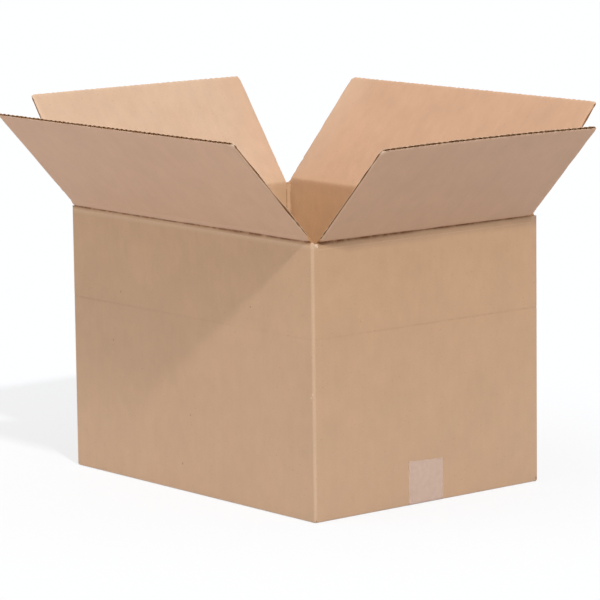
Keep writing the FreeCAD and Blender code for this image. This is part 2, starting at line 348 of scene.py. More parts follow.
class Nodes:
    """A node tree in the making."""

    def __init__(self, tree: NodeTree) -> None:
        """Keep the tree."""
        self.tree = tree

    def node(self, kind: str, settings: dict | None = None, inputs: dict | None = None) -> Node:
        """A node with its settings set first, and then its sockets.

        Args:
            kind: the node's type.
            settings: its own properties.
            inputs: a value or a wire for each socket, by name or number.

        Returns:
            The node.
        """
        made = self.tree.nodes.new(kind)
        for key, value in (settings or {}).items():
            setattr(made, key, value)
        self.fill(made, inputs or {})
        return made

    def fill(self, node: Node, inputs: dict) -> None:
        """Give each of a node's input sockets its value or its wire."""
        for key, value in inputs.items():
            if isinstance(value, Wire):
                self.tree.links.new(value.socket, node.inputs[key])
            else:
                node.inputs[key].default_value = value


class Shader(Nodes):
    """A material in the making, round its one Principled shader."""

    def __init__(self, name: str) -> None:
        """Start a material of that name."""
        self.material = bpy.data.materials.new(name)
        self.material.use_nodes = True
        super().__init__(self.material.node_tree)
        self.surface = self.tree.nodes["Principled BSDF"]

    def sheet(self, stretch: tuple[float, float, float] = (1.0, 1.0, 1.0)) -> Wire:
        """Places on the unfolded sheet, each coordinate times a factor."""
        source = self.node("ShaderNodeAttribute", {"attribute_name": "sheet"})
        scaled = self.node("ShaderNodeVectorMath", {"operation": "MULTIPLY"},
                           {0: Wire(self, source.outputs["Vector"]), 1: stretch})
        return Wire(self, scaled.outputs[0])

    def value(self, name: str) -> Wire:
        """One of the mesh's own values, by its attribute's name."""
        return Wire(self, self.node("ShaderNodeAttribute", {"attribute_name": name}).outputs["Fac"])

    def noise(self, place: Wire, per_metre: float, detail: float = 3.0, rough: float = 0.5) -> Wire:
        """Noise from 0 to 1 with so many features in a metre."""
        made = self.node("ShaderNodeTexNoise", None,
                         {"Vector": place, "Scale": per_metre, "Detail": detail, "Roughness": rough})
        return Wire(self, made.outputs[0])

    def mix(self, share: Wire | float, first: Wire | tuple, second: Wire | tuple, blend: str = "MIX") -> Wire:
        """The first colour, with a share of the second."""
        made = self.node("ShaderNodeMix", {"data_type": "RGBA", "blend_type": blend},
                         {0: share, 6: first, 7: second})
        return Wire(self, made.outputs[2])

    def finish(self, colour: Wire | tuple, roughness: Wire | float, height: Wire | None,
               relief: float, constants: dict) -> Material:
        """Wire up the shader.

        Args:
            colour: its base colour.
            roughness: its roughness.
            height: bump height from 0 to 1, or None.
            relief: what a height of 1 measures, in metres.
            constants: values of other sockets.

        Returns:
            The finished material.
        """
        wanted = {"Base Color": colour, "Roughness": roughness} | constants
        if height is not None:
            bump = self.node("ShaderNodeBump", None, {"Strength": 1.0, "Distance": relief, "Height": height})
            wanted["Normal"] = Wire(self, bump.outputs[0])
        self.fill(self.surface, wanted)
        return self.material


def tone(red: float, green: float, blue: float) -> tuple[float, float, float, float]:
    """A colour from its screen values, 0 to 255, as linear light."""
    linear = [((c / 255 + 0.055) / 1.055) ** 2.4 if c > 10 else c / 255 / 12.92 for c in (red, green, blue)]
    return (*linear, 1.0)


@dataclass(frozen=True)
class Spot:
    """A small spot on the paper (a fleck, a painted highlight, painted shade): its place on the unfolded
    sheet, its radius and its colour.
    """

    around: float
    height: float
    radius: float
    colour: tuple = tone(122, 84, 52)


@dataclass(frozen=True)
class PaintedLightDrift:
    """Painted light and shade: a slow change of the paper's tone along one axis of the sheet, as two factors.
    """

    axis: int
    low: float
    high: float
    first: tuple
    last: tuple


@dataclass(frozen=True)
class KraftPaper:
    """The face of the board: mottled brown paper with fibres, faint flute lines painted as the washboard's
    shade, folds rubbed light with painted highlights on them, and painted shade in the creases.

    name: the material's name.
    colour: the paper's mean colour.
    mottle: how much the cloudy patches change it.
    fibres: how much single fibres change it.
    flutes: how much the washboard's shade is painted as faint lines at the flutes' pitch.
    specks: single dark flecks, and small spots of painted highlight and painted shade.
    drifts: painted light and shade, as slow changes of tone over the sheet.
    """

    name: str
    colour: tuple
    mottle: float = 0.12
    fibres: float = 0.10
    flutes: float = 0.003
    specks: tuple[Spot, ...] = ()
    drifts: tuple[PaintedLightDrift, ...] = ()
    # light tints fibres and lightens rubbed paper with its painted highlights; dark tints fibres and spots,
    # and paints the shade in creases.
    light: tuple = tone(232, 208, 182)
    dark: tuple = tone(122, 74, 30)

    def build(self) -> Material:
        """Make the material: cloudy patches and fibres change the tone, painted light and shade change it
        slowly over the sheet, and rubbing, painted highlights and painted crease shade tint it.
        """
        shader = Shader(self.name)
        place = shader.sheet()
        clouds = shader.noise(place, 14.0, 2.0) + shader.noise(shader.sheet((1.0, 0.6, 1.0)), 75.0, 3.0)
        grain = shader.noise(shader.sheet((0.35, 1.0, 1.0)), 900.0, 3.0, 0.6)
        threads = shader.noise(shader.sheet((0.14, 1.0, 1.0)), 1600.0, 1.0)
        across = self.flute_wave(shader)
        # The flute wave in the tone is painted shade of the washboard relief that the flutes raise.
        level = 1.0 + self.mottle * (clouds - 1.0) + self.fibres * (grain - 0.5) + self.flutes * across
        colour = shader.mix(1.0, self.colour, self.grey(shader, level), "MULTIPLY")
        sides = shader.node("ShaderNodeSeparateXYZ", None, {0: place})
        # Painted light and shade: each pair of factors tints the paper slowly along the sheet.
        for light_drift in self.drifts:
            share = Wire(shader, sides.outputs[light_drift.axis]).span(light_drift.low, light_drift.high)
            colour = shader.mix(1.0, colour, shader.mix(share, light_drift.first, light_drift.last), "MULTIPLY")
        warm = shader.noise(place, 32.0, 2.0).span(0.35, 0.75) * 0.18
        dark_fibre = threads.span(0.66, 0.78) * 0.22
        light_fibre = shader.noise(shader.sheet((1.0, 0.2, 1.0)), 1300.0, 1.0).span(0.68, 0.80) * 0.20
        spots = shader.noise(place, 420.0, 0.0).span(0.80, 0.86) * 0.30
        # Rubbed paper lightens it, and so do the painted highlights along rounded folds, which come through
        # the same value.
        worn_and_lit = shader.value("wear") * shader.noise(place, 700.0, 3.0, 0.7).span(0.25, 0.62)
        # Painted shade in fold valleys, scored lines and the lines inside corners darkens it.
        crease_shading = shader.value("pressed") * shader.noise(place, 160.0, 2.0).span(0.15, 0.60)
        tints = [(warm, tone(204, 158, 128)), (dark_fibre, self.dark), (light_fibre, self.light),
                 (spots, self.dark)]
        tints += [(self.speck_mask(shader, place, placed_spot), placed_spot.colour) for placed_spot in self.specks]
        for share, tint in tints + [(worn_and_lit, self.light), (crease_shading, self.dark)]:
            colour = shader.mix(share, colour, tint)
        height = grain * 0.45 + threads * 0.35 + clouds * 0.2 + across * 0.06
        roughness = 0.54 + 0.16 * grain
        return shader.finish(colour, roughness, height, 0.10 * MM, {"Specular IOR Level": 0.45})

    @staticmethod
    def flute_wave(shader: Shader) -> Wire:
        """A wave across the sheet with the flutes' pitch."""
        parts = shader.node("ShaderNodeSeparateXYZ", None, {0: shader.sheet()})
        turn = Wire(shader, parts.outputs[0]) * (math.tau / BOARD.pitch)
        return turn.wave()

    @staticmethod
    def grey(shader: Shader, level: Wire) -> Wire:
        """A grey of that level, as a colour."""
        made = shader.node("ShaderNodeCombineColor", None, {0: level, 1: level, 2: level})
        return Wire(shader, made.outputs[0])

    @staticmethod
    def speck_mask(shader: Shader, place: Wire, placed_spot: Spot) -> Wire:
        """1 inside a spot, fading at its edge."""
        middle = (placed_spot.around, placed_spot.height, 0.0)
        gap = shader.node("ShaderNodeVectorMath", {"operation": "DISTANCE"}, {0: place, 1: middle})
        distance = Wire(shader, gap.outputs["Value"])
        return (1.0 - distance.span(placed_spot.radius * 0.4, placed_spot.radius * 1.6)) * 0.6


@dataclass(frozen=True)
class CutPaper:
    """Cut edges and the fluted paper inside the board: rough, fibrous and darker."""

    name: str
    colour: tuple
    shadow: tuple = tone(138, 84, 42)

    def build(self) -> Material:
        """Make the material: coarse fibre noise between the paper's colour and its shadow."""
        shader = Shader(self.name)
        place = shader.sheet()
        coarse = shader.noise(place, 520.0, 3.0, 0.65)
        fine = shader.noise(place, 2600.0, 2.0)
        colour = shader.mix(coarse.span(0.35, 0.72) * 0.65, self.colour, self.shadow)
        colour = shader.mix(shader.value("wear") * fine.span(0.2, 0.5), colour, tone(232, 206, 178))
        height = coarse * 0.6 + fine * 0.4
        return shader.finish(colour, 0.9, height, 0.25 * MM, {"Specular IOR Level": 0.15})


@dataclass(frozen=True)
class ClearTape:
    """Thin clear packing tape, milky where its glue lies on rough paper."""

    name: str
    colour: tuple
    cover: float = 0.42

    def build(self) -> Material:
        """Make the material: a faint milky film whose cover varies, with a low sheen."""
        shader = Shader(self.name)
        place = shader.sheet()
        patches = shader.noise(place, 160.0, 3.0, 0.6)
        drawn = shader.noise(shader.sheet((0.05, 1.0, 1.0)), 900.0, 1.0)
        edge = shader.value("wear")
        cover = self.cover * (0.82 + 0.36 * patches) * (1.0 - 0.5 * edge)
        colour = shader.mix(edge * 0.6, self.colour, tone(236, 212, 184))
        constants = {"Alpha": cover, "Specular IOR Level": 0.5, "IOR": 1.47}
        return shader.finish(colour, 0.26 + 0.14 * patches, patches * 0.5 + drawn * 0.5, 0.03 * MM, constants)


@dataclass(frozen=True)
class Finishes:
    """Every material of the carton, in the order of the board's slots."""

    outer: Material
    inner: Material
    cut: Material
    tape: Material

    def board(self) -> list[Material]:
        """The slots of every board piece: 0 outer paper, 1 inner paper, 2 cut paper."""
        return [self.outer, self.inner, self.cut]


@dataclass(frozen=True)
class Crease:
    """One flap's crease as the frame gives it.

    name: the flap's body and node.
    point: middle of the hinge axis.
    out: level direction away from the wall.
    lean: the flap's angle above the level at rest.
    half_span: half of the flap's width.
    reach: crease to free edge.
    shift: height of the visible fold above the hinge axis.
    """

    name: str
    point: Grid
    out: Grid
    lean: float
    half_span: float
    reach: float
    shift: float

    @staticmethod
    def from_frame(joint: dict, nodes: dict[str, Object], shift: float) -> "Crease":
        """Read a crease from its joint and its flap's mesh.

        A flap bent down has turned by a right angle and its lean, so the range gives the lean.
        """
        name = joint["child"]
        point = np.array(joint["pos_m"], float)
        out = np.cross(UP, np.array(joint["axis"], float))
        lean = math.radians(-joint["range_deg"][0] - 90.0)
        mesh = nodes[name].data
        corners = np.zeros(len(mesh.vertices) * 3, np.float32)
        mesh.vertices.foreach_get("co", corners)
        offset = corners.reshape(-1, 3).astype(float) - point
        rise = out * math.cos(lean) + UP * math.sin(lean)
        half_span = float(np.max(offset @ np.cross(out, UP)))
        return Crease(name, point, out, lean, half_span, float(np.max(offset @ rise)), shift)

    @property
    def along(self) -> Grid:
        """Direction of the crease line."""
        return np.cross(self.out, UP)

    @property
    def rise(self) -> Grid:
        """Direction from the crease to the flap's free edge, at rest."""
        return self.out * math.cos(self.lean) + UP * math.sin(self.lean)

    @property
    def inward(self) -> Grid:
        """Direction from the flap's outer face to its inner face, at rest."""
        return -self.out * math.sin(self.lean) + UP * math.cos(self.lean)

    def on_flap(self, across: Grid, up: Grid, depth: Grid) -> Grid:
        """Points by the flap's own axes: crease point + across along + up rise + depth inward."""
        return self.by_axes((across, up, depth), (self.along, self.rise, self.inward))

    def on_wall(self, across: Grid, out: Grid, height: Grid) -> Grid:
        """Points by the wall's axes, from the hinge line."""
        return self.by_axes((across, out, height), (self.along, self.out, UP))

    def by_axes(self, steps: tuple[Grid, ...], axes: tuple[Grid, ...]) -> Grid:
        """The crease's middle and a step along each axis."""
        first, second, third = (s[..., None] * a for s, a in zip(np.broadcast_arrays(*steps), axes))
        return self.point + first + second + third


@dataclass(frozen=True)
class Walls:
    """Sizes of the walls, from the frame, and the marks on them.

    half_length, half_width: outside, along X and Y.
    foot: underside of the board, which stands on the tape.
    """

    half_length: float
    half_width: float
    foot: float
    fold_radius: float = 3.0 * MM
    foot_radius: float = 2.5 * MM
    slot_floor: float = 290.0 * MM
    slot_floor_inside: float = 288.4 * MM
    score_height: float = 191.0 * MM
    score_depth: float = 0.16 * MM
    score_half: float = 1.1 * MM
    seam: float = 0.4 * MM
    strip_low: float = 5.0 * MM
    strip_low_inside: float = 6.5 * MM

    @staticmethod
    def from_frame() -> "Walls":
        """Read the outside sizes from the carton's node."""
        low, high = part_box("carton_body")
        return Walls(high.x, high.y, low.z)

    @staticmethod
    def bevel(wall: "Wall") -> tuple[float, float]:
        """How far the crushed inside of a wall's last corner reaches, on it and on the next wall."""
        return (6.5 * MM, 2.0 * MM) if wall is Wall.LEFT else (4.0 * MM, 4.0 * MM)

    def plan(self, wall: "Wall") -> tuple[float, float]:
        """Half of a wall's length, and its outer face's distance from the middle."""
        sides = (self.half_width, self.half_length)
        return sides if wall.value[1][0] else sides[::-1]

    def around(self, wall: int) -> float:
        """Place on the unfolded sheet where a wall starts, counting round from the glued corner."""
        lengths = (2 * self.half_width, 2 * self.half_length) * 2
        return sum(lengths[:wall])


class Wall(Enum):
    """Walls in their order on the sheet, from the glued corner: flap name and outward direction."""

    RIGHT = ("right_flap", (1.0, 0.0))
    FRONT = ("front_flap", (0.0, -1.0))
    LEFT = ("left_flap", (-1.0, 0.0))
    BACK = ("back_flap", (0.0, 1.0))

    @property
    def place(self) -> int:
        """Number of the wall along the sheet."""
        return list(Wall).index(self)

    @property
    def out(self) -> Grid:
        """Outward direction in plan."""
        return np.array(self.value[1])

    @property
    def run(self) -> Grid:
        """Direction along the wall in plan, on towards the next wall."""
        return np.array([self.value[1][1], -self.value[1][0]])


@dataclass
class Station:
    """One upright line of the walls, or arrays of the values of all of them.

    outer, inner: outside and inside points in plan.
    normal: outward direction in plan.
    around: place round the unfolded sheet.
    top, top_inside: where its outside and its inside end.
    wear, pressed_inside: how much its outside is rubbed light and carries a painted highlight, and how much
    painted shade lies on a line inside a corner.
    finish: slot of its outside.
    """

    outer: Grid
    inner: Grid
    normal: Grid
    around: float
    top: float
    top_inside: float
    wear: float = 0.0
    finish: int = OUTER
    pressed_inside: float = 0.0


@dataclass
class CartonWalls:
    """The four walls as one closed band, from the squeezed feet to the creases.

    slot_gap: from a flap's side to the step in the wall's top.
    fold_wear: the painted highlight and the rubbing on the upright folds and the bottom edge.
    line_places, line_width: the two raised lines inside a corner, as shares of its turn.
    line_height, line_shade: how high and how dark they are.
    score_shade: how dark the painted shade in the scored line round the walls is.
    wall_bow, unevenness: how far the walls are pulled in, and how unevenly.
    """

    sizes: Walls
    creases: dict[str, Crease]
    wall_steps: int = 56
    corner_steps: int = 14
    foot_steps: int = 6
    low_steps: int = 24
    high_steps: int = 16
    slot_gap: float = 0.4 * MM
    # A painted highlight, with rubbing, along the rounded upright folds and the foot.
    fold_wear: float = 0.22
    line_places: tuple[float, float] = (0.14, 0.86)
    line_width: float = 0.08
    line_height: float = 0.6 * MM
    line_shade: float = 0.55
    score_shade: float = 0.16
    wall_bow: float = 0.5 * MM
    unevenness: float = 0.12 * MM

    def build(self, finishes: Finishes) -> Object:
        """Make the band from its upright stations and its section."""
        stations = [s for wall in Wall for s in self.wall_stations(wall) + self.corner_stations(wall)]
        lines = Station(*[np.array([getattr(s, part.name) for s in stations]) for part in fields(Station)])
        columns = self.section(lines)
        whole = Surface(*[np.stack([c[k] for c in columns], axis=1) for k in range(4)])
        outside, kinds = (np.array([c[k] for c in columns])[None, :] for k in (4, 5))
        whole.wear = np.clip(whole.wear + lines.wear[:, None] * outside, 0.0, 1.0)
        finish = np.where(kinds == OUTER, lines.finish[:, None], kinds)
        return build_object("carton_walls", [hoop(whole, finish)], finishes.board())

    def wall_stations(self, wall: Wall) -> list[Station]:
        """Stations of one flat wall, with a jump in height where its flap's crease begins and ends."""
        size, crease = self.sizes, self.creases[wall.value[0]]
        half, depth = size.plan(wall)
        within = half - BOARD.thickness
        within_low = within - size.bevel(list(Wall)[wall.place - 1])[1]
        within_high = within - size.bevel(wall)[0]
        slot = crease.half_span + self.slot_gap
        outer_half = half - size.fold_radius
        places = [(share * crease.half_span, True) for share in np.linspace(-1.0, 1.0, self.wall_steps)]
        places = [(-outer_half, False), (-slot, False)] + places + [(slot, False), (outer_half, False)]
        made = []
        for place, hinged in places:
            low = crease.point[2]
            top = low - size.strip_low if hinged else size.slot_floor
            top_inside = low - size.strip_low_inside if hinged else size.slot_floor_inside
            inner = float(np.clip(place, -within_low, within_high))
            made.append(Station(
                wall.out * depth + wall.run * place,
                wall.out * (depth - BOARD.thickness) + wall.run * inner,
                wall.out, size.around(wall.place) + half + place, top, top_inside))
        return made

    def corner_stations(self, wall: Wall) -> list[Station]:
        """Stations of the upright fold after a wall, or of the glued corner after the last one."""
        if wall is Wall.BACK:
            return self.glued_stations()
        size, out, run = self.sizes, wall.out, wall.run
        half, depth = size.plan(wall)
        centre = out * (depth - size.fold_radius) + run * (half - size.fold_radius)
        corner_in = out * (depth - BOARD.thickness) + run * (half - BOARD.thickness)
        before, after = size.bevel(wall)
        ends = (corner_in - run * before, corner_in - out * after)
        around = size.around(wall.place) + 2 * half
        made = []
        for k in range(1, self.corner_steps):
            share = k / self.corner_steps
            angle = share * math.pi / 2
            normal = out * math.cos(angle) + run * math.sin(angle)
            # The two raised lines inside the corner also get painted shade along them.
            line = sum(bell(share - middle, self.line_width) for middle in self.line_places)
            inner = ends[0] * (1 - share) + ends[1] * share + normal * self.line_height * line
            place = around + (share * 2 - 1) * size.fold_radius
            # A painted highlight along the rounded fold, strongest at its middle, with its rubbing.
            worn_and_lit = bell(share - 0.5, 0.6) * self.fold_wear
            top = size.slot_floor + 2.0 * MM * math.sin(math.pi * share)
            made.append(Station(centre + normal * size.fold_radius, inner, normal, place, top,
                                size.slot_floor_inside, worn_and_lit, pressed_inside=self.line_shade * line))
        return made

    def glued_stations(self) -> list[Station]:
        """The corner where the right wall's raw edge meets the back wall, with an open line."""
        size = self.sizes
        right, back = size.half_length, size.half_width
        inside = right - BOARD.thickness
        corner_in = (inside - 2.0 * MM, back - BOARD.thickness - 2.0 * MM)
        end = size.around(4)
        raw = back - 0.05 * MM
        deep = back - BOARD.thickness + BOARD.liner
        rows = [
            (inside - size.seam, back - 1.2 * MM, (0.7, 0.7), OUTER),
            (inside - size.seam, deep, (0.0, 1.0), CUT),
            (inside, deep, (0.0, 1.0), CUT),
            (inside, raw, (0.0, 1.0), CUT),
            (right - 0.9 * MM, raw, (0.0, 1.0), CUT),
            (right - 0.25 * MM, raw - 0.3 * MM, (0.7, 0.7), OUTER),
            (right, raw - 1.1 * MM, (1.0, 0.0), OUTER),
        ]
        return [Station((x, y), corner_in, normal, end if k < 3 else 0.0, size.slot_floor,
                        size.slot_floor_inside, 0.0, finish)
                for k, (x, y, normal, finish) in enumerate(rows)]

    def section(self, lines: Station) -> list[tuple]:
        """The band's section as columns, round from the inner foot, up outside and down inside.

        Each column has points, sheet places, values of rubbing with painted highlights and of painted crease
        shade, how much of the upright folds' painted highlight and rubbing it takes, and its finish. The
        foot's fold is a quarter circle.
        """
        size = self.sizes
        outer, inner, normal, around = lines.outer, lines.inner, lines.normal, lines.around
        columns = []

        def column(plan: Grid, height: Grid | float, side: float = 0.0, wear: Grid | float = 0.0,
                   pressed: Grid | float = 0.0, outside: float = 0.0, finish: int = OUTER) -> None:
            """Add a column of one point for each station."""
            height, wear, pressed = (np.broadcast_to(v, around.shape) for v in (height, wear, pressed))
            points = np.column_stack([plan, height])
            columns.append((points, stack(around, height, side), wear, pressed, outside, finish))

        column(inner, size.foot)
        for angle in np.linspace(0.0, math.pi / 2, self.foot_steps):
            plan = outer - normal * size.foot_radius * (1.0 - math.sin(angle))
            height = size.foot + size.foot_radius * (1.0 - math.cos(angle))
            # The foot's rounded edge gets a painted highlight with its rubbing.
            column(plan, height, wear=self.fold_wear * math.sin(2 * angle), outside=0.6)
        score = size.score_height + size.score_half * np.array([-1.6, -1.0, -0.5, 0.0, 0.5, 1.0, 1.6])
        low = np.linspace(size.foot + size.foot_radius, score[0], self.low_steps)[1:-1]
        top = min(lines.top.min(), size.slot_floor) - 1.0 * MM
        high = np.linspace(score[-1], top, self.high_steps)[1:]
        heights = np.concatenate([low, score, high])
        bow = self.bow(around)
        for height in heights:
            line = bell(height - size.score_height, size.score_half) * self.score_strength(around)
            dent = size.score_depth * line + bow * math.sin(math.pi * height / size.slot_floor)
            # The scored line's groove is dented and also gets painted shade.
            column(outer - normal * dent[:, None], height, pressed=self.score_shade * line, outside=1.0)
        column(outer, lines.top, wear=0.25, outside=1.0, finish=CUT)
        column(inner, lines.top_inside, INSIDE, finish=INNER)
        for height in heights[::-1]:
            dent = bow * math.sin(math.pi * height / size.slot_floor)
            # Painted shade along the raised lines inside the corners.
            column(inner - normal * dent[:, None], height, INSIDE, pressed=lines.pressed_inside, finish=INNER)
        return columns

    def bow(self, around: Grid) -> Grid:
        """How far each station is pulled in at half height, most in the middle of each wall."""
        walls = [self.sizes.around(k) for k in range(5)]
        depth = np.zeros_like(around)
        for start, end in zip(walls, walls[1:]):
            inside = (around >= start) & (around <= end)
            depth[inside] = self.wall_bow * np.sin(math.pi * (around[inside] - start) / (end - start))
        uneven = self.unevenness * ripple(around, around * 0, 5, 90 * MM)
        return depth + uneven * (depth > 0.1 * self.wall_bow)

    def score_strength(self, around: Grid) -> Grid:
        """The scored line comes and goes round the walls, from 0.35 to 1."""
        return 0.65 + 0.35 * np.sin(around * 9.0 + 1.0)


@dataclass
class FlutedPanel:
    """A panel of board: two liners and the fluted paper between them, as closed sheets.

    Its own axes are across the flutes, along them, and from the outer face to the inner one.

    half_span: half of its width, across the flutes.
    start, reach: where it starts and ends along them.
    seed: picks its relief.
    root, tip: the finely divided stretches at its two ends.
    edge_wear, wear_width: how rubbed the edges are, and how far in.
    fine_edge: the finely divided stretch at each side.
    set_back: how far the fluted paper stays inside the liners' edges.
    liner_fray, flute_fray: how ragged the papers' free ends are.
    """

    name: str
    half_span: float
    start: float
    reach: float
    seed: int = 1
    across_steps: int = 96
    root: float = 25.0 * MM
    tip: float = 7.0 * MM
    flute_steps: int = 10
    root_steps: int = 11
    middle_steps: int = 9
    tip_steps: int = 8
    set_back: float = 0.3 * MM
    edge_wear: float = 0.35
    wear_width: float = 1.3 * MM
    fine_edge: float = 3.0 * MM
    liner_fray: float = 0.10 * MM
    flute_fray: float = 0.25 * MM

    def place(self, across: Grid, along: Grid, depth: Grid) -> Grid:
        """Points in the row frame."""
        raise NotImplementedError

    def sheet(self, across: Grid, along: Grid, side: float) -> Grid:
        """Places on the unfolded sheet."""
        raise NotImplementedError

    def outer_depth(self, across: Grid, along: Grid) -> Grid:
        """Depth of the outer face."""
        return np.zeros(np.broadcast(across, along).shape)

    def inner_depth(self, across: Grid, along: Grid) -> Grid:
        """Depth of the inner face."""
        return self.outer_depth(across, along) + BOARD.thickness

    def ends(self, across: Grid) -> tuple[Grid, Grid]:
        """Where each line along the flutes starts and ends."""
        return np.full_like(across, self.start), np.full_like(across, self.reach)

    def wear(self, across: Grid, along: Grid) -> Grid:
        """Rubbed edges and corners."""
        _, high = self.ends(across)
        edge = np.minimum(high - along, self.half_span - np.abs(across))
        rough = 0.5 + 0.5 * ripple(across, along, self.seed + 40, 14 * MM)
        return np.clip(self.edge_wear * bell(edge, self.wear_width) * rough, 0.0, 1.0)

    def rows(self) -> Grid:
        """Shares of the way along: close together near the crease and at the free end."""
        low, high = self.ends(np.zeros(1))
        length = float(high[0] - low[0])
        root, tip = self.root / length, self.tip / length
        first = np.linspace(0.0, root, self.root_steps)
        middle = np.linspace(root, 1.0 - tip, self.middle_steps)[1:-1]
        last = 1.0 - tip * np.linspace(1.0, 0.0, self.tip_steps) ** 1.6
        return np.concatenate([first, middle, last])

    def grid(self, across: Grid, fray: float, seed: int) -> tuple[Grid, Grid]:
        """Across and along values of a sheet's grid, its free ends ragged by a small ripple."""
        shares = self.rows()
        low, high = self.ends(across)
        ragged = fray * ripple(across, across * 0.37, seed, 5 * MM)
        along = low[:, None] + (high - low)[:, None] * shares
        along = along + ragged[:, None] * smooth((shares - 0.9) / 0.1)
        return np.repeat(across[:, None], len(shares), axis=1), along

    def liner(self, inner: bool) -> Skin:
        """One outer paper: a plate between the face and the same face one liner deeper."""
        edge, width = self.fine_edge, 2 * self.half_span
        near = np.linspace(0.0, edge, 6)
        middle = np.linspace(edge, width - edge, self.across_steps)[1:-1]
        across = np.concatenate([near, middle, width - near[::-1]]) - self.half_span
        u, v = self.grid(across, self.liner_fray, self.seed + (7 if inner else 3))
        side = INSIDE if inner else 0.0
        face = self.inner_depth(u, v) if inner else self.outer_depth(u, v)
        under = face - BOARD.liner if inner else face + BOARD.liner
        wear = self.wear(u, v)
        sheet = self.sheet(u, v, side)
        front = surface(self.place(u, v, face), sheet, wear, self.pressed(u, v, inner))
        back = surface(self.place(u, v, under), sheet, wear)
        paper = INNER if inner else OUTER
        return slab(front, back, (paper, CUT, paper))

    def pressed(self, across: Grid, along: Grid, inner: bool) -> Grid:
        """Painted shade of folds."""
        return np.zeros(np.broadcast(across, along).shape)

    def flutes(self) -> Skin:
        """The fluted paper: a plate whose middle is a rounded wave from liner to liner.

        The wave is the sine of the place across, raised towards its crests by a cubic term, and
        its size and phase wander a little, as in board that has been handled.
        """
        half = self.half_span - self.set_back
        waves = math.floor(2 * half / BOARD.pitch)
        across = np.linspace(-half, half, waves * self.flute_steps + 1)
        u, v = self.grid(across, self.flute_fray, self.seed + 11)
        v = v - self.set_back * smooth(self.rows())
        top = self.outer_depth(u, v) + BOARD.liner
        low = self.inner_depth(u, v) - BOARD.liner
        room = low - top - BOARD.medium
        phase = math.tau * u / BOARD.pitch + 0.35 * ripple(u, v, self.seed + 21, 60 * MM)
        wave = 1.2 * np.sin(phase) - 0.2 * np.sin(phase) ** 3
        middle = (top + low) / 2 + room / 2 * np.clip(wave, -1.0, 1.0)
        sheet = self.sheet(u, v, 0.5)
        front, back = (surface(self.place(u, v, middle + side * BOARD.medium / 2), sheet) for side in (-1, 1))
        return slab(front, back, (CUT, CUT, CUT))

    def build(self, finishes: Finishes) -> Object:
        """Make the panel of its three papers."""
        skins = [self.liner(False), self.liner(True), self.flutes()]
        return build_object(self.name, skins, finishes.board())


